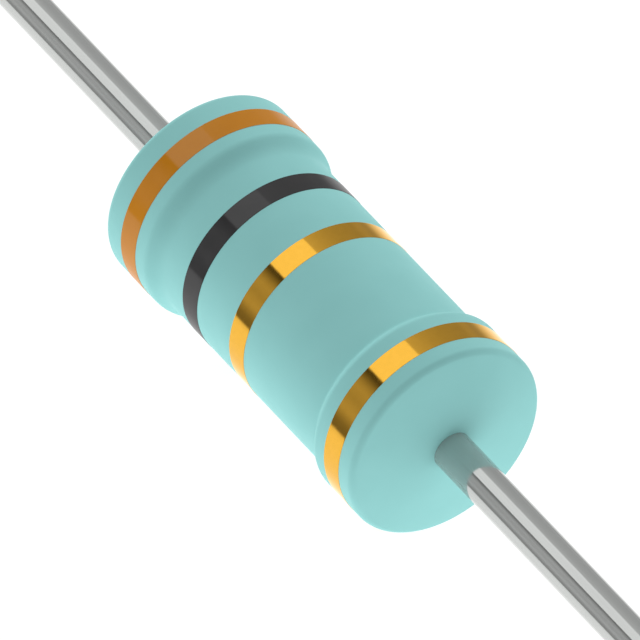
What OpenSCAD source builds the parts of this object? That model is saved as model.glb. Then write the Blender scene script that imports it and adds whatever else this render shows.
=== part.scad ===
// Axial film resistor with a lacquered, dog-bone body and two straight leads.
// Millimetres. The axis of the body lies along X, the origin is at the middle of the body.
// Every turned piece is drawn as half a section, [radius, place along the axis], and revolved.

/* [Ceramic core] */
// Diameter of the ceramic rod
rod_d = 3.2; // [2:0.05:5]
// Length of the ceramic rod
rod_len = 7.6; // [6:0.05:12]
// Chamfer round each end of the rod
rod_chamfer = 0.1; // [0.05:0.01:0.15]

/* [Resistive film] */
// Thickness of the film fired on the rod
film_t = 0.03; // [0.02:0.005:0.06]
// Turns of the spiral groove that trims the film
groove_turns = 4; // [2:1:6]
// Width of the groove, measured along the rod
groove_w = 0.25; // [0.1:0.01:0.4]
// Uncut film left between the groove and each cap
groove_margin = 0.6; // [0.3:0.05:1.2]

/* [End caps] */
// Sheet thickness of a pressed cap
cap_wall = 0.2; // [0.12:0.01:0.3]
// Length of a cap, from its outer face to its mouth
cap_len = 1; // [0.8:0.05:1.3]
// Outside bend radius between the cap's face and its side
cap_edge_r = 0.15; // [0.05:0.01:0.25]

/* [Leads] */
// Diameter of the lead wire
lead_d = 0.8; // [0.5:0.05:1]
// Length of bare wire outside the body
lead_len = 28; // [10:0.5:40]
// Diameter of the upset foot that is welded to the cap
weld_d = 1.2; // [1.1:0.05:1.6]
// Height of the upset foot
weld_h = 0.38; // [0.1:0.01:0.45]
// Rounding at the rim of the cut end
cut_edge_r = 0.05; // [0.02:0.01:0.15]

/* [Lacquer coating] */
// Lacquer over the side of a cap
cap_coat = 0.3; // [0.15:0.01:0.5]
// Lacquer over the face of a cap, at its rim
face_coat = 0.285; // [0.22:0.005:0.5]
// Radius of the shallow dome on an end face, where the lacquer draws up to the lead
face_dome_r = 9.4; // [6:0.1:12]
// How far the ends stand proud of the middle
step_h = 0.17; // [0.1:0.01:0.3]
// Slope of the shoulder between an end and the middle, in degrees
step_angle = 35; // [25:1:50]
// Rounding at the crest of the shoulder
crest_r = 0.2; // [0.05:0.01:0.3]
// Rounding at the foot of the shoulder
foot_r = 0.12; // [0.05:0.01:0.2]
// Rounding of the outer end edges
end_edge_r = 0.15; // [0.05:0.01:0.25]

/* [Colour bands] */
// Width of a band
band_w = 0.5; // [0.3:0.05:0.8]
// Thickness of the printed paint
band_t = 0.02; // [0.015:0.005:0.05]
// Shift of the first band from the middle of its proud end, towards the body's middle
first_band_shift = 0.1; // [0:0.01:0.15]
// Place of the second band along the axis
second_band_x = -1.57; // [-1.6:0.01:-0.8]
// Place of the third band along the axis
third_band_x = 0.05; // [0:0.01:1.2]
// Shift of the last band from the middle of its proud end, towards the end face
last_band_shift = 0.02; // [0:0.01:0.15]

/* [Hidden] */
$fn = 96;

// Radii, from the core outwards
rod_r = rod_d / 2;
film_r = rod_r + film_t;
cap_r = film_r + cap_wall;
end_r = cap_r + cap_coat;
mid_r = end_r - step_h;
lead_r = lead_d / 2;

// Places along the axis, from the middle outwards
rod_end_x = rod_len / 2;
cap_face_x = rod_end_x + cap_wall;
cap_mouth_x = cap_face_x - cap_len;
body_end_x = cap_face_x + face_coat;
edge_centre = [end_r - end_edge_r, body_end_x - end_edge_r];
end_flat_mid_x = (cap_mouth_x + edge_centre[1]) / 2;

// The domed end face: it meets the outer end edge in a tangent, and the lead leaves it at the root
dome_centre = [0, edge_centre[1] - sqrt(pow(face_dome_r - end_edge_r, 2) - pow(edge_centre[0], 2))];
dome_rim = dome_centre + (edge_centre - dome_centre) * face_dome_r / (face_dome_r - end_edge_r);
lead_root_x = dome_centre[1] + sqrt(pow(face_dome_r, 2) - pow(lead_r, 2));
lead_end_x = lead_root_x + lead_len;

// The shoulder: a crest arc that starts over the cap's mouth, a straight slope and a foot arc
slope_drop = step_h - (crest_r + foot_r) * (1 - cos(step_angle));
crest_centre = [end_r - crest_r, cap_mouth_x];
slope_top = crest_centre + crest_r * [cos(step_angle), -sin(step_angle)];
slope_foot = slope_top - slope_drop * [1, 1 / tan(step_angle)];
foot_centre = slope_foot + foot_r * [cos(step_angle), -sin(step_angle)];

// The trim groove, how far its cutter reaches past the film, and the steps that the cutter is drawn in
groove_span = 2 * (cap_mouth_x - groove_margin);
groove_deg = 360 * groove_w * groove_turns / groove_span;
groove_reach = 0.3;
steps_per_turn = 18;
sector_steps = 3;
edge_segments = 6;

// Revolves half sections about the body's axis
module turned() {
    rotate([0, 90, 0])
        rotate_extrude()
            children();
}

// Draws a half section at both ends of the body
module both_ends_2d() {
    children();
    mirror([0, 1])
        children();
}

// Space that the coated rod fills, between its end faces
module core_section() {
    translate([0, -rod_end_x])
        square([film_r, rod_len]);
}

// Outside of a cap: a disc whose outer edge is bent round
module cap_section() {
    polygon([[0, cap_mouth_x], [cap_r, cap_mouth_x], [cap_r, cap_face_x - cap_edge_r],
             [cap_r - cap_edge_r, cap_face_x], [0, cap_face_x]]);
    translate([cap_r - cap_edge_r, cap_face_x - cap_edge_r])
        circle(cap_edge_r);
}

// A lead: the tapered foot on the cap's face, the wire and its rounded cut end
module lead_section() {
    polygon([[0, cap_face_x], [weld_d / 2, cap_face_x], [lead_r, cap_face_x + weld_h],
             [lead_r, lead_end_x - cut_edge_r], [lead_r - cut_edge_r, lead_end_x], [0, lead_end_x]]);
    translate([lead_r - cut_edge_r, lead_end_x - cut_edge_r])
        circle(cut_edge_r);
}

// Outside of the lacquer, from the far shoulder's foot over the middle to one domed end face
module coat_section() {
    difference() {
        union() {
            polygon([[0, -foot_centre[1]], [mid_r, -foot_centre[1]], [mid_r, foot_centre[1]],
                     slope_foot, slope_top, [end_r, cap_mouth_x], [end_r, edge_centre[1]],
                     dome_rim, [0, dome_rim[1]]]);
            translate(crest_centre)
                circle(crest_r);
            translate(edge_centre)
                circle(end_edge_r);
            intersection() {
                translate(dome_centre)
                    circle(face_dome_r);
                translate([0, edge_centre[1]])
                    square([dome_rim[0], face_dome_r]);
            }
        }
        translate(foot_centre)
            circle(foot_r);
    }
}

// Cutter for the spiral groove: a sector that twists as it runs along the film
module groove_cutter() {
    sector = [for (i = [0:sector_steps])
              let (a = groove_deg * i / sector_steps) [cos(a), sin(a)]];
    rotate([0, 90, 0])
        translate([0, 0, -groove_span / 2])
            linear_extrude(height = groove_span, twist = -360 * groove_turns,
                           slices = steps_per_turn * groove_turns, segments = edge_segments)
                polygon(concat((film_r + groove_reach) * sector,
                               (rod_r - groove_reach) * [sector[sector_steps], sector[0]]));
}

module ceramic_core() {
    color([0.93, 0.91, 0.86])
        turned()
            polygon([[0, -rod_end_x], [rod_r - rod_chamfer, -rod_end_x], [rod_r, rod_chamfer - rod_end_x],
                     [rod_r, rod_end_x - rod_chamfer], [rod_r - rod_chamfer, rod_end_x], [0, rod_end_x]]);
}

module resistive_film() {
    film_len = rod_len - 2 * rod_chamfer;
    color([0.3, 0.27, 0.25])
        difference() {
            turned()
                translate([rod_r, -film_len / 2])
                    square([film_t, film_len]);
            groove_cutter();
        }
}

module end_cap() {
    color([0.72, 0.72, 0.7])
        turned()
            difference() {
                cap_section();
                core_section();
            }
}

module left_end_cap() {
    mirror([1, 0, 0])
        end_cap();
}

module right_end_cap() {
    end_cap();
}

module lead() {
    color([0.8, 0.81, 0.8])
        turned()
            lead_section();
}

module left_lead() {
    mirror([1, 0, 0])
        lead();
}

module right_lead() {
    lead();
}

module coating() {
    color([0.52, 0.74, 0.73])
        turned()
            difference() {
                both_ends_2d()
                    coat_section();
                core_section();
                both_ends_2d()
                    cap_section();
                both_ends_2d()
                    lead_section();
            }
}

// A ring of paint, seated on the lacquer of radius r, with its middle at x
module band(r, x) {
    turned()
        translate([r, x - band_w / 2])
            square([band_t, band_w]);
}

module first_digit_band() {
    color([0.8, 0.45, 0.12])
        band(end_r, first_band_shift - end_flat_mid_x);
}

module second_digit_band() {
    color([0.1, 0.1, 0.1])
        band(mid_r, second_band_x);
}

module multiplier_band() {
    color([0.8, 0.6, 0.2])
        band(mid_r, third_band_x);
}

module tolerance_band() {
    color([0.8, 0.6, 0.2])
        band(end_r, end_flat_mid_x + last_band_shift);
}

ceramic_core();
resistive_film();
left_end_cap();
right_end_cap();
left_lead();
right_lead();
coating();
first_digit_band();
second_digit_band();
multiplier_band();
tolerance_band();
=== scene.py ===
"""Axial film resistor: smooth turned pieces and their finishes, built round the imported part."""
import logging
import math
from dataclasses import dataclass
from enum import Enum

import bmesh
import bpy
from mathutils import Matrix, Vector


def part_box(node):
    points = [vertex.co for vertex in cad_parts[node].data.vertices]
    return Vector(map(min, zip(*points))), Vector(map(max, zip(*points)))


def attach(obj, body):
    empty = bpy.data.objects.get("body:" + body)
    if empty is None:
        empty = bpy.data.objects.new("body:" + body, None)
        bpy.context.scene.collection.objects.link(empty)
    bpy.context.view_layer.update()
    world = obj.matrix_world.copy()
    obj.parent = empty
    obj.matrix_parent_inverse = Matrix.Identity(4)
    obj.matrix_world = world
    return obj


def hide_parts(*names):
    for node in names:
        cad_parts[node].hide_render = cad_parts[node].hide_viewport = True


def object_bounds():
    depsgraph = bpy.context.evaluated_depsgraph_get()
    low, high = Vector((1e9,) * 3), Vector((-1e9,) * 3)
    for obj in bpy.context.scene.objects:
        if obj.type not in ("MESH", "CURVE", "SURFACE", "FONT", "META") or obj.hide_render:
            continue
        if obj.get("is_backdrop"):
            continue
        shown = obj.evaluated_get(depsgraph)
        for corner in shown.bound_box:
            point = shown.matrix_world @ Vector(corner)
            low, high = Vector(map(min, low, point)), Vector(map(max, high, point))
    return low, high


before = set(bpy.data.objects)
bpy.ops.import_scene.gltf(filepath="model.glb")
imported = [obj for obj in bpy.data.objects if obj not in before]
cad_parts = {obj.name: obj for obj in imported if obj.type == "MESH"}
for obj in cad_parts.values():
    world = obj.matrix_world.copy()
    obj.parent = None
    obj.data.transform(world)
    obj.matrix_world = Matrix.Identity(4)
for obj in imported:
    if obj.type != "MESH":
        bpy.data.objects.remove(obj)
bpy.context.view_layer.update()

LOG = logging.getLogger("axial_resistor")
BODY = "root"
# A millimetre in metres
MM = 0.001
# Places closer together than this are one place, in millimetres
SAME = 0.0002
# Height of the foot that is welded to a cap, in millimetres
FOOT_HEIGHT = 0.38
FULL_TURN = 360.0
QUARTER_TURN = FULL_TURN / 4

Colour = tuple[float, float, float]
Point = tuple[float, float]
Feed = bpy.types.NodeSocket | float | tuple[float, ...]


class End(Enum):
    """An end of the resistor, by the sign of its place along X."""

    LEFT = -1
    RIGHT = 1


class Ray(Enum):
    """The kinds of ray that the studio answers in its own way, named as Light Path names them."""

    CAMERA = "Is Camera Ray"
    GLOSSY = "Is Glossy Ray"
    TRANSMISSION = "Is Transmission Ray"


def span(node: str) -> Point:
    """Returns a CAD node's lowest and highest place along X, in millimetres."""
    low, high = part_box(node)
    return low.x / MM, high.x / MM


def reach(node: str, beyond: float) -> float:
    """Returns a CAD node's highest place along X, beyond a distance from the axis, in mm."""
    points = (v.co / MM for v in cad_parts[node].data.vertices)
    return max(p.x for p in points if math.hypot(p.y, p.z) > beyond)


def radii(node: str) -> Point:
    """Returns a CAD node's smallest and largest distance from the axis, in millimetres."""
    distances = [math.hypot(v.co.y, v.co.z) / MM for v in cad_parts[node].data.vertices]
    return min(distances), max(distances)


class Section:
    """Half a section, drawn in the X-Z plane as a pen draws it, and then turned about X.

    Places are [place along the axis, radius], in millimetres. An arc has a point every ARC_STEP
    degrees. A line has a support point at HOLD from each end, unless it is shorter than
    LEAST_HELD. Edges bent by more than SHARP stay sharp.
    """

    ARC_STEP = 5.0
    LEAST_STEPS = 6
    HOLD = 0.02
    LEAST_HELD = 0.08
    SHARP = math.radians(28)

    def __init__(self, x: float, r: float) -> None:
        """Puts the pen down.

        Args:
            x: Place along the axis.
            r: Radius.
        """
        self.mesh = bmesh.new()
        self.start = self.mesh.verts.new((x * MM, 0.0, r * MM))
        self.tip = self.start

    def _step(self, place: Vector) -> None:
        """Extrudes the pen's tip to a new place.

        Args:
            place: The place, in metres.
        """
        made = bmesh.ops.extrude_vert_indiv(self.mesh, verts=[self.tip])
        self.tip = made["verts"][0]
        self.tip.co = place

    def line(self, x: float, r: float) -> "Section":
        """Draws a straight line, with a support point close to each of its ends.

        Args:
            x: Place along the axis where the line ends.
            r: Radius where the line ends.

        Returns:
            The section itself.
        """
        start = self.tip.co.copy()
        end = Vector((x * MM, 0.0, r * MM))
        hold = (end - start).normalized() * self.HOLD * MM
        if (end - start).length > self.LEAST_HELD * MM:
            self._step(start + hold)
            self._step(end - hold)
        self._step(end)
        return self

    def arc(self, x: float, r: float, degrees: float) -> "Section":
        """Draws an arc round a centre.

        Args:
            x: Place of the centre along the axis.
            r: Radius of the centre.
            degrees: Sweep; positive turns from outwards towards +X.

        Returns:
            The section itself.
        """
        made = bmesh.ops.spin(
            self.mesh, geom=[self.tip], cent=(x * MM, 0.0, r * MM), axis=(0.0, 1.0, 0.0),
            dvec=(0.0, 0.0, 0.0), angle=math.radians(degrees), space=Matrix.Identity(4),
            steps=max(self.LEAST_STEPS, math.ceil(abs(degrees) / self.ARC_STEP)),
            use_duplicate=False)
        self.tip = next(v for v in made["geom_last"] if isinstance(v, bmesh.types.BMVert))
        return self

    def joined(self, other: "Section") -> "Section":
        """Adds another section, flipped to the left of the middle, and joins the two there.

        Args:
            other: The section of the left half, drawn towards +X, which this uses up.

        Returns:
            The section itself.
        """
        bmesh.ops.scale(other.mesh, vec=(-1.0, 1.0, 1.0), verts=other.mesh.verts[:])
        data = bpy.data.meshes.new("left_half")
        other.mesh.to_mesh(data)
        other.mesh.free()
        self.mesh.from_mesh(data)
        bpy.data.meshes.remove(data)
        return self

    def closed(self) -> "Section":
        """Joins the pen's tip to its start, and returns the section."""
        self.mesh.edges.new((self.tip, self.start))
        return self

    def turned(self, name: str, steps: int, end: End = End.RIGHT) -> bpy.types.Object:
        """Spins the section once round X into a closed, smooth piece.

        Args:
            name: Name of the new object.
            steps: Facets round the axis.
            end: The end of the resistor that the piece is for; the left one is flipped.

        Returns:
            The new object, linked to the scene.
        """
        mesh = self.mesh
        bmesh.ops.spin(
            mesh, geom=mesh.verts[:] + mesh.edges[:], cent=(0.0, 0.0, 0.0), axis=(1.0, 0.0, 0.0),
            dvec=(0.0, 0.0, 0.0), angle=math.tau, space=Matrix.Identity(4), steps=steps,
            use_merge=True, use_duplicate=False)
        bmesh.ops.remove_doubles(mesh, verts=mesh.verts[:], dist=SAME * MM)
        bmesh.ops.scale(mesh, vec=(end.value, 1.0, 1.0), verts=mesh.verts[:])
        bmesh.ops.recalc_face_normals(mesh, faces=mesh.faces[:])
        for face in mesh.faces:
            face.smooth = True
        for edge in mesh.edges:
            edge.smooth = edge.calc_face_angle(0.0) < self.SHARP
        data = bpy.data.meshes.new(name)
        mesh.to_mesh(data)
        mesh.free()
        piece = bpy.data.objects.new(name, data)
        bpy.context.scene.collection.objects.link(piece)
        return piece


class Tree:
    """A node tree, with short calls that add a node and feed its inputs.

    The Mix node has sockets for numbers, vectors and colours; the ones for colours are named here.
    """

    MIX_FACTOR, MIX_FIRST, MIX_SECOND = 0, 6, 7
    MIX_RESULT = 2

    def __init__(self, tree: bpy.types.NodeTree) -> None:
        """Takes the tree of a material, a world or a group, and empties it."""
        self.tree = tree
        tree.nodes.clear()

    def add(self, kind: str, feeds: dict[str | int, Feed] | None = None,
            **settings: object) -> bpy.types.Node:
        """Adds a node.

        Args:
            kind: The node's type.
            feeds: Input name or index to a socket, which is linked, or to a plain value.
            settings: The node's own properties.

        Returns:
            The new node.
        """
        node = self.tree.nodes.new(kind)
        for key, value in settings.items():
            setattr(node, key, value)
        for key, value in (feeds or {}).items():
            if isinstance(value, bpy.types.NodeSocket):
                self.tree.links.new(value, node.inputs[key])
            else:
                node.inputs[key].default_value = value
        return node

    def mix(self, factor: Feed, first: Feed, second: Feed) -> bpy.types.NodeSocket:
        """Mixes two colours.

        Args:
            factor: Socket or number that picks between them.
            first: Socket or colour at factor 0.
            second: Socket or colour at factor 1.

        Returns:
            The mixed colour's socket.
        """
        node = self.add("ShaderNodeMix", {
            self.MIX_FACTOR: factor, self.MIX_FIRST: first, self.MIX_SECOND: second},
            data_type="RGBA")
        return node.outputs[self.MIX_RESULT]

    def math(self, operation: str, first: Feed, second: Feed = 0.0) -> bpy.types.NodeSocket:
        """Adds one sum, by the Math node's name for it, and returns the result's socket."""
        return self.add("ShaderNodeMath", {0: first, 1: second}, operation=operation).outputs[0]


def solid(colour: Colour) -> tuple[float, float, float, float]:
    """Returns the colour with full alpha."""
    return (*colour, 1.0)


def grey(level: float) -> tuple[float, float, float, float]:
    """Returns a grey with full alpha."""
    return solid((level, level, level))


class SurfaceNoise:
    """The one shared effect: soft noise over a surface, at a size in millimetres.

    Every finish places the group with its own size, stretch along X and range, for uneven
    colour, uneven gloss, grain or drawing lines.
    """

    LOW_NOISE = 0.3
    HIGH_NOISE = 0.7
    DETAIL = 2.0

    def __init__(self) -> None:
        """Builds the node group."""
        self.group = bpy.data.node_groups.new("surface_noise", "ShaderNodeTree")
        face = self.group.interface
        for name, value in (("Size", 1.0), ("Stretch", 1.0), ("Low", 0.0), ("High", 1.0)):
            socket = face.new_socket(name, in_out="INPUT", socket_type="NodeSocketFloat")
            socket.default_value = value
        face.new_socket("Value", in_out="OUTPUT", socket_type="NodeSocketFloat")
        tree = Tree(self.group)
        given = tree.add("NodeGroupInput").outputs
        place = tree.add("ShaderNodeTexCoord").outputs["Object"]
        per_size = tree.math("DIVIDE", 1 / MM, given["Size"])
        along = tree.math("DIVIDE", per_size, given["Stretch"])
        scale = tree.add("ShaderNodeCombineXYZ", {"X": along, "Y": per_size, "Z": per_size})
        scaled = tree.add("ShaderNodeVectorMath", {0: place, 1: scale.outputs[0]},
                          operation="MULTIPLY")
        noise = tree.add("ShaderNodeTexNoise",
                         {"Vector": scaled.outputs[0], "Scale": 1.0, "Detail": self.DETAIL})
        spread = tree.add("ShaderNodeMapRange", {
            "Value": noise.outputs[0], "From Min": self.LOW_NOISE, "From Max": self.HIGH_NOISE,
            "To Min": given["Low"], "To Max": given["High"]})
        tree.add("NodeGroupOutput", {"Value": spread.outputs[0]})

    def place(self, tree: Tree, size: float, low: float = 0.0, high: float = 1.0,
              stretch: float = 1.0) -> bpy.types.NodeSocket:
        """Places the group in a material.

        Args:
            tree: The material's tree.
            size: Size of a blotch or grain, in millimetres.
            low: Lowest value.
            high: Highest value.
            stretch: How many times longer a blotch is along X.

        Returns:
            The value's socket.
        """
        node = tree.add("ShaderNodeGroup", node_tree=self.group)
        for name, value in (("Size", size), ("Low", low), ("High", high), ("Stretch", stretch)):
            node.inputs[name].default_value = value
        return node.outputs["Value"]


@dataclass(frozen=True)
class Finish:
    """A surface finish: two close tones, a range of roughness and a fine relief.

    Sizes are in millimetres and colours are linear. A clear coat lies over printed paint, and
    stretch says how many times longer the pattern is along X, as on drawn wire.
    """

    name: str
    slot: str
    tone: Colour
    other_tone: Colour
    tone_size: float
    roughness: Point
    gloss_size: float
    relief: float
    relief_size: float
    metallic: float = 0.0
    specular: float = 0.5
    edge_tint: Colour = (1.0, 1.0, 1.0)
    coat: float = 0.0
    coat_roughness: float = 0.08
    coat_ior: float = 1.75
    stretch: float = 1.0

    def material(self, noise: SurfaceNoise) -> bpy.types.Material:
        """Builds the finish as a node material.

        Args:
            noise: The shared noise group.

        Returns:
            The new material.
        """
        material = bpy.data.materials.new(self.name)
        material.use_nodes = True
        tree = Tree(material.node_tree)
        tone = tree.mix(noise.place(tree, self.tone_size, stretch=self.stretch),
                        solid(self.tone), solid(self.other_tone))
        rough = noise.place(tree, self.gloss_size, *self.roughness, stretch=self.stretch)
        grain = noise.place(tree, self.relief_size, stretch=self.stretch)
        bump = tree.add("ShaderNodeBump", {"Strength": 1.0, "Distance": self.relief * MM,
                                           "Height": grain})
        shader = tree.add("ShaderNodeBsdfPrincipled", {
            "Base Color": tone, "Roughness": rough, "Metallic": self.metallic,
            "Specular IOR Level": self.specular, "Specular Tint": solid(self.edge_tint),
            "Coat Weight": self.coat, "Coat Roughness": self.coat_roughness,
            "Coat IOR": self.coat_ior, "Normal": bump.outputs[0]})
        tree.add("ShaderNodeOutputMaterial", {"Surface": shader.outputs[0]})
        return material


TEAL_LACQUER = Finish(
    "teal_lacquer", "teal_lacquer", tone=(0.279, 0.605, 0.593), other_tone=(0.267, 0.587, 0.575),
    tone_size=0.9, roughness=(0.70, 0.80), gloss_size=0.4, relief=0.0006, relief_size=0.09,
    specular=0.12)
ORANGE_PAINT = Finish(
    "orange_paint", "orange_paint", tone=(0.535, 0.205, 0.010), other_tone=(0.515, 0.193, 0.007),
    tone_size=0.35, roughness=(0.50, 0.60), gloss_size=0.3, relief=0.0001, relief_size=0.15,
    specular=0.0, coat=0.37)
BLACK_PAINT = Finish(
    "black_paint", "black_paint", tone=(0.037, 0.036, 0.037), other_tone=(0.032, 0.032, 0.033),
    tone_size=0.35, roughness=(0.50, 0.60), gloss_size=0.3, relief=0.0001, relief_size=0.15,
    specular=0.0, coat=0.37)
GOLD_PAINT = Finish(
    "gold_paint", "gold_paint", tone=(0.741, 0.404, 0.050), other_tone=(0.719, 0.389, 0.046),
    tone_size=0.12, roughness=(0.05, 0.09), gloss_size=0.1, relief=0.0001, relief_size=0.12,
    metallic=1.0, edge_tint=(0.96, 0.88, 0.74))
TINNED_WIRE = Finish(
    "tinned_wire", "tinned_wire", tone=(0.520, 0.533, 0.518), other_tone=(0.500, 0.512, 0.500),
    tone_size=0.10, roughness=(0.03, 0.07), gloss_size=0.12, relief=0.00005, relief_size=0.03,
    metallic=0.70, specular=0.3, edge_tint=(0.85, 0.85, 0.85), stretch=30.0)
CAP_TIN = Finish(
    "cap_tin_plate", "cap_steel", tone=(0.56, 0.55, 0.52), other_tone=(0.48, 0.47, 0.45),
    tone_size=0.25, roughness=(0.25, 0.40), gloss_size=0.1, relief=0.0005, relief_size=0.05,
    metallic=0.9)
FIRED_ALUMINA = Finish(
    "fired_alumina", "core_ceramic", tone=(0.80, 0.77, 0.69), other_tone=(0.73, 0.70, 0.62),
    tone_size=0.4, roughness=(0.60, 0.75), gloss_size=0.2, relief=0.0010, relief_size=0.06)
METAL_GLAZE = Finish(
    "metal_glaze", "metal_glaze", tone=(0.075, 0.065, 0.055), other_tone=(0.050, 0.044, 0.040),
    tone_size=0.2, roughness=(0.25, 0.35), gloss_size=0.15, relief=0.0004, relief_size=0.08,
    metallic=0.3)


class Paintshop:
    """Makes each finish once and gives it to pieces."""

    def __init__(self) -> None:
        """Builds the shared noise group."""
        self.noise = SurfaceNoise()
        self.made: dict[str, bpy.types.Material] = {}

    def dress(self, piece: bpy.types.Object, finish: Finish) -> None:
        """Gives a piece its finish.

        Args:
            piece: The piece or CAD node.
            finish: Its finish.
        """
        if finish.name not in self.made:
            self.made[finish.name] = finish.material(self.noise)
        piece.data.materials.clear()
        piece.data.materials.append(self.made[finish.name])

    def install(self, piece: bpy.types.Object, finish: Finish, node: str) -> None:
        """Dresses a new piece and puts it in the place of a CAD node.

        Args:
            piece: The new piece.
            finish: Its finish.
            node: The CAD node that it stands for.
        """
        self.dress(piece, finish)
        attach(piece, BODY)
        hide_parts(node)
        LOG.info("%s stands for %s: %d faces", piece.name, node, len(piece.data.polygons))


@dataclass(frozen=True)
class Shoulder:
    """The slope between the middle and a proud end, with a crest arc and a foot arc.

    The crest arc starts at crest_x. Sizes are in millimetres and the angle is in degrees.
    """

    crest_x: float
    angle: float
    crest_r: float
    foot_r: float


@dataclass
class Coat:
    """The lacquer shell: straight middle, shoulders, proud domed ends, and the hollow inside."""

    left_shoulder: Shoulder = Shoulder(crest_x=2.950, angle=31.0, crest_r=0.26, foot_r=0.52)
    right_shoulder: Shoulder = Shoulder(crest_x=3.060, angle=45.0, crest_r=0.20, foot_r=0.12)
    edge_r: float = 0.15
    dome_r: float = 9.4
    cap_edge_r: float = 0.15
    foot_h: float = FOOT_HEIGHT
    steps: int = 192

    def __post_init__(self) -> None:
        """Measures the shell and its neighbours in the frame."""
        self.end_r = radii("coating")[1]
        self.edge_x = reach("coating", self.end_r - SAME)
        self.mid_r = radii("multiplier_band")[0]
        self.cap_mouth_x, self.cap_face_x = span("right_end_cap")
        self.cap_r = radii("right_end_cap")[1]
        self.film_r = radii("resistive_film")[1]
        self.weld_r = radii("right_lead")[1]
        self.wire_r = radii("coating")[0]

    def _outside(self, pen: Section, shoulder: Shoulder) -> None:
        """Draws the outside of one half, from the middle to the end face.

        Args:
            pen: Section whose tip is at the middle.
            shoulder: The shoulder on that half.
        """
        turn = math.radians(shoulder.angle)
        arcs = shoulder.crest_r + shoulder.foot_r
        drop = self.end_r - self.mid_r - arcs * (1 - math.cos(turn))
        foot_x = shoulder.crest_x - arcs * math.sin(turn) - drop / math.tan(turn)
        pen.line(foot_x, self.mid_r)
        pen.arc(foot_x, self.mid_r + shoulder.foot_r, -shoulder.angle)
        pen.line(shoulder.crest_x - shoulder.crest_r * math.sin(turn),
                 self.end_r - shoulder.crest_r * (1 - math.cos(turn)))
        pen.arc(shoulder.crest_x, self.end_r - shoulder.crest_r, shoulder.angle)
        edge_r = self.end_r - self.edge_r
        rim_turn = math.asin(edge_r / (self.dome_r - self.edge_r))
        root_turn = math.asin(self.wire_r / self.dome_r)
        dome_x = self.edge_x - (self.dome_r - self.edge_r) * math.cos(rim_turn)
        pen.line(self.edge_x, self.end_r)
        pen.arc(self.edge_x, edge_r, QUARTER_TURN - math.degrees(rim_turn))
        pen.arc(dome_x, 0.0, math.degrees(rim_turn - root_turn))

    def _inside(self, pen: Section) -> None:
        """Draws the hollow of one half, from the lead's hole back to the middle.

        Args:
            pen: Section whose tip is on the end face.
        """
        edge_r = self.cap_edge_r
        pen.line(self.cap_face_x + self.foot_h, self.wire_r)
        pen.line(self.cap_face_x, self.weld_r)
        pen.line(self.cap_face_x, self.cap_r - edge_r)
        pen.arc(self.cap_face_x - edge_r, self.cap_r - edge_r, -QUARTER_TURN)
        pen.line(self.cap_mouth_x, self.cap_r)
        pen.line(self.cap_mouth_x, self.film_r)
        pen.line(0.0, self.film_r)

    def build(self, shop: Paintshop) -> None:
        """Turns the shell and dresses it.

        Args:
            shop: Where finishes are made.
        """
        halves = []
        for shoulder in (self.right_shoulder, self.left_shoulder):
            pen = Section(0.0, self.mid_r)
            self._outside(pen, shoulder)
            self._inside(pen)
            halves.append(pen)
        right, left = halves
        shell = right.joined(left).turned("lacquer_coat", self.steps)
        shop.install(shell, TEAL_LACQUER, "coating")


@dataclass
class Band:
    """A ring of thin paint with softened outer edges."""

    name: str
    node: str
    finish: Finish
    thickness: float = 0.005
    soft_edge: float = 0.002
    steps: int = 192

    def build(self, shop: Paintshop) -> None:
        """Turns the ring and dresses it.

        Args:
            shop: Where finishes are made.
        """
        low_x, high_x = span(self.node)
        inner_r = radii(self.node)[0]
        outer_r = inner_r + self.thickness
        edge = self.soft_edge
        pen = Section(low_x, inner_r)
        pen.line(low_x, outer_r - edge).arc(low_x + edge, outer_r - edge, QUARTER_TURN)
        pen.line(high_x - edge, outer_r).arc(high_x - edge, outer_r - edge, QUARTER_TURN)
        pen.line(high_x, inner_r).closed()
        shop.install(pen.turned(self.name, self.steps), self.finish, self.node)


@dataclass
class Wire:
    """A lead: welded foot, straight wire and rounded cut end."""

    end: End
    foot_h: float = FOOT_HEIGHT
    cut_edge_r: float = 0.05
    steps: int = 96

    def build(self, shop: Paintshop) -> None:
        """Turns the lead and dresses it.

        Args:
            shop: Where finishes are made.
        """
        side = self.end.name.lower()
        root_x, tip_x = sorted(abs(x) for x in span(f"{side}_lead"))
        foot_r = radii(f"{side}_lead")[1]
        wire_r = radii("coating")[0]
        edge = self.cut_edge_r
        pen = Section(root_x, 0.0)
        pen.line(root_x, foot_r).line(root_x + self.foot_h, wire_r)
        pen.line(tip_x - edge, wire_r).arc(tip_x - edge, wire_r - edge, QUARTER_TURN)
        pen.line(tip_x, 0.0)
        shop.install(pen.turned(f"{side}_wire", self.steps, self.end), TINNED_WIRE, f"{side}_lead")


@dataclass
class Core:
    """What the lacquer hides: ceramic rod, trimmed film and pressed caps."""

    finishes: tuple[tuple[str, Finish], ...] = (
        ("ceramic_core", FIRED_ALUMINA), ("resistive_film", METAL_GLAZE),
        ("left_end_cap", CAP_TIN), ("right_end_cap", CAP_TIN))

    def build(self, shop: Paintshop) -> None:
        """Dresses the CAD nodes.

        Args:
            shop: Where finishes are made.
        """
        for node, finish in self.finishes:
            shop.dress(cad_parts[node], finish)
            LOG.info("%s dressed as %s", node, finish.name)


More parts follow.
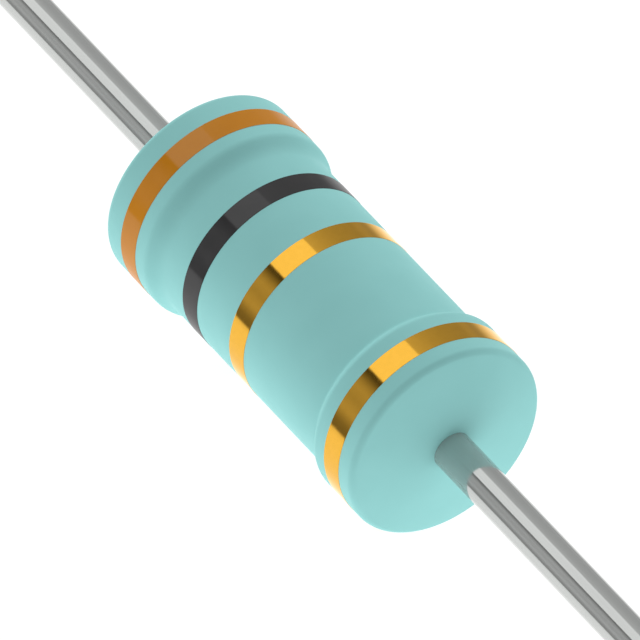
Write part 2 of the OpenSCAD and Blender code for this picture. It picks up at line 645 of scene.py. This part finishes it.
@dataclass
class Studio:
    """White floor, soft top light and grey surroundings, as metal round X sees them.

    The strips give the brightness that a shiny piece meets, by degrees round X, from +Y over +Z.
    The sky and bounce values give the soft light that a matt piece meets, above and below the
    floor's level: bounce is even, bounce_slant is strongest halfway down, and bounce_left and
    bounce_right grow towards the ends. The top light's reach and half angle are in degrees, as
    the object sees them.
    """

    floor_size: float = 4.0
    floor_glow: float = 0.93
    floor_tone: float = 0.16
    strips: tuple[Point, ...] = (
        (0, 0.46), (8, 0.49), (16, 0.425), (40, 0.465), (56, 0.54), (68, 0.635), (77, 0.715),
        (77.6, 0.95), (123.3, 0.95), (124, 0.07), (128, 0.10), (132, 0.215), (136, 0.345),
        (140, 0.455), (145, 0.535), (157, 0.465), (169, 0.565), (173, 0.55), (180, 0.38),
        (186, 0.26), (195, 0.21), (197.5, 1.13), (204, 1.28), (252, 1.30), (264, 1.40),
        (272, 1.47), (328, 1.40), (336, 1.18), (344, 0.90), (352, 0.52), (356, 0.44))
    sky_front: float = 0.715
    sky_behind: float = 1.469
    sky_left: float = 1.242
    bounce: float = 0.162
    bounce_slant: float = 1.341
    bounce_left: float = 2.138
    bounce_right: float = 1.007
    top_light_height: float = 0.5
    top_light_reach: Point = (-60.0, 20.0)
    top_light_tilt: float = 10.45
    top_light_half_angle: float = 23.15
    top_light_radiance: float = 0.40

    def build(self) -> None:
        """Makes the floor, the world and the top light."""
        bpy.context.scene.view_settings.view_transform = "Standard"
        self._floor()
        self._world()
        self._top_light()

    def _floor(self) -> None:
        """Lays a white floor under the body, which only a camera above it sees."""
        mesh = bmesh.new()
        bmesh.ops.create_grid(mesh, x_segments=1, y_segments=1, size=self.floor_size / 2)
        bmesh.ops.translate(mesh, vec=(0.0, 0.0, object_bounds()[0].z), verts=mesh.verts[:])
        data = bpy.data.meshes.new("floor")
        mesh.to_mesh(data)
        mesh.free()
        floor = bpy.data.objects.new("floor", data)
        bpy.context.scene.collection.objects.link(floor)
        material = bpy.data.materials.new("studio_floor")
        material.use_nodes = True
        tree = Tree(material.node_tree)
        path = tree.add("ShaderNodeLightPath")
        glow = tree.add("ShaderNodeEmission", {"Strength": self.floor_glow})
        matt = tree.add("ShaderNodeBsdfDiffuse", {"Color": grey(self.floor_tone)})
        seen = tree.add("ShaderNodeAddShader", {0: glow.outputs[0], 1: matt.outputs[0]})
        clear = tree.add("ShaderNodeBsdfTransparent")
        from_below = tree.add("ShaderNodeNewGeometry").outputs["Backfacing"]
        shown = tree.math("SUBTRACT", path.outputs[Ray.CAMERA.value], from_below)
        pick = tree.add("ShaderNodeMixShader", {0: shown, 1: clear.outputs[0], 2: seen.outputs[0]})
        tree.add("ShaderNodeOutputMaterial", {"Surface": pick.outputs[0]})
        data.materials.append(material)
        floor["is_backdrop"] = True

    def _strip_ring(self, tree: Tree, way: bpy.types.Node) -> bpy.types.NodeSocket:
        """Makes the ring of strips that shiny pieces meet.

        Args:
            tree: The world's tree.
            way: Node that splits a ray's direction into X, Y and Z.

        Returns:
            The strips' colour.
        """
        angle = tree.math("ARCTAN2", way.outputs["Z"], way.outputs["Y"])
        turn = tree.math("FRACT", tree.math("DIVIDE", angle, math.tau))
        ring = tree.add("ShaderNodeValToRGB", {0: turn})
        stops = ring.color_ramp.elements
        while len(stops) > 1:
            stops.remove(stops[-1])
        for i, (degrees, level) in enumerate(self.strips):
            stop = stops.new(degrees / FULL_TURN) if i else stops[0]
            stop.position = degrees / FULL_TURN
            stop.color = grey(level)
        return ring.outputs[0]

    def _soft_light(self, tree: Tree, way: bpy.types.Node) -> bpy.types.NodeSocket:
        """Makes the soft light that matt pieces meet: the sky, and a bounce from below.

        Args:
            tree: The world's tree.
            way: Node that splits a ray's direction into X, Y and Z.

        Returns:
            The light's strength.
        """
        along, across, height = (way.outputs[axis] for axis in "XYZ")
        to_left = tree.math("MINIMUM", along)
        behind = tree.math("MULTIPLY", tree.math("MAXIMUM", across), self.sky_behind)
        front = tree.math("MULTIPLY", tree.math("MINIMUM", across), -self.sky_front)
        left = tree.math("MULTIPLY", to_left, -self.sky_left)
        above = tree.math("ADD", tree.math("ADD", behind, front), left)
        # Below the floor's level, slant is the sine of twice the angle downwards: 1 halfway down
        flat = tree.math("SQRT", tree.math("SUBTRACT", 1.0, tree.math("MULTIPLY", height, height)))
        slant = tree.math("MULTIPLY", tree.math("MULTIPLY", height, flat), -2.0)
        low_left = tree.math("MULTIPLY", to_left, -self.bounce_left)
        slanted = tree.math("MULTIPLY", slant, tree.math("ADD", low_left, self.bounce_slant))
        low_right = tree.math("MULTIPLY", tree.math("MAXIMUM", along), self.bounce_right)
        below = tree.math("ADD", tree.math("ADD", slanted, low_right), self.bounce)
        return tree.mix(tree.math("LESS_THAN", height), above, below)

    def _world(self) -> None:
        """Surrounds the object: white for the camera, strips for shiny pieces, soft light else."""
        world = bpy.data.worlds.new("studio")
        bpy.context.scene.world = world
        world.use_nodes = True
        tree = Tree(world.node_tree)
        path = tree.add("ShaderNodeLightPath")
        way = tree.add("ShaderNodeSeparateXYZ",
                       {0: tree.add("ShaderNodeTexCoord").outputs["Generated"]})
        shiny = tree.math("MAXIMUM", path.outputs[Ray.GLOSSY.value],
                          path.outputs[Ray.TRANSMISSION.value])
        lit = tree.mix(shiny, self._soft_light(tree, way), self._strip_ring(tree, way))
        seen = tree.mix(path.outputs[Ray.CAMERA.value], lit, grey(1.0))
        back = tree.add("ShaderNodeBackground", {"Color": seen, "Strength": 1.0})
        tree.add("ShaderNodeOutputWorld", {"Surface": back.outputs[0]})

    def _top_light(self) -> None:
        """Hangs a long soft box over the object, parallel to X."""
        height = self.top_light_height
        left, right = (height * math.tan(math.radians(a)) for a in self.top_light_reach)
        data = bpy.data.lights.new("top_light", "AREA")
        data.shape = "RECTANGLE"
        data.size = right - left
        data.size_y = 2 * height * math.tan(math.radians(self.top_light_half_angle))
        data.energy = math.pi * data.size * data.size_y * self.top_light_radiance
        light = bpy.data.objects.new("top_light", data)
        bpy.context.scene.collection.objects.link(light)
        tilt = math.radians(self.top_light_tilt)
        light.location = ((left + right) / 2, -math.sin(tilt) * height, math.cos(tilt) * height)
        light.rotation_euler = (tilt, 0.0, 0.0)
        light.visible_camera = False


@dataclass
class Shot:
    """The photograph's view: a long lens, from above and from the right end.

    Angles are in degrees, frame width and aim in millimetres. Near and far are where the view is
    clipped, as shares of the camera's distance.
    """

    azimuth: float = 56.85
    elevation: float = 43.33
    half_angle: float = 0.7
    frame_width: float = 12.13
    aim_right: float = -0.034
    aim_up: float = -0.131
    sensor: float = 36.0
    near: float = 0.01
    far: float = 10.0

    def build(self) -> None:
        """Makes the camera and hands it to the scene."""
        azimuth, elevation = math.radians(self.azimuth), math.radians(self.elevation)
        back = Vector((math.sin(azimuth) * math.cos(elevation),
                       -math.cos(azimuth) * math.cos(elevation), math.sin(elevation)))
        turn = (-back).to_track_quat("-Z", "Y")
        aim = turn @ Vector((self.aim_right, self.aim_up, 0.0)) * MM
        half = math.radians(self.half_angle)
        distance = self.frame_width / 2 * MM / math.tan(half)
        data = bpy.data.cameras.new("camera")
        data.sensor_width = self.sensor
        data.lens = self.sensor / 2 / math.tan(half)
        data.clip_start, data.clip_end = distance * self.near, distance * self.far
        camera = bpy.data.objects.new("camera", data)
        bpy.context.scene.collection.objects.link(camera)
        camera.rotation_mode = "QUATERNION"
        camera.rotation_quaternion = turn
        camera.location = aim + back * distance
        bpy.context.scene.camera = camera


def main() -> None:
    """Builds the view, the studio and every piece."""
    logging.basicConfig(level=logging.INFO, format="%(name)s: %(message)s")
    Shot().build()
    shop = Paintshop()
    Coat().build(shop)
    Band("orange_band", "first_digit_band", ORANGE_PAINT).build(shop)
    Band("black_band", "second_digit_band", BLACK_PAINT).build(shop)
    Band("gold_band", "multiplier_band", GOLD_PAINT).build(shop)
    Band("gold_end_band", "tolerance_band", GOLD_PAINT).build(shop)
    for end in End:
        Wire(end).build(shop)
    Core().build(shop)
    Studio().build()


if __name__ == "__main__":
    main()
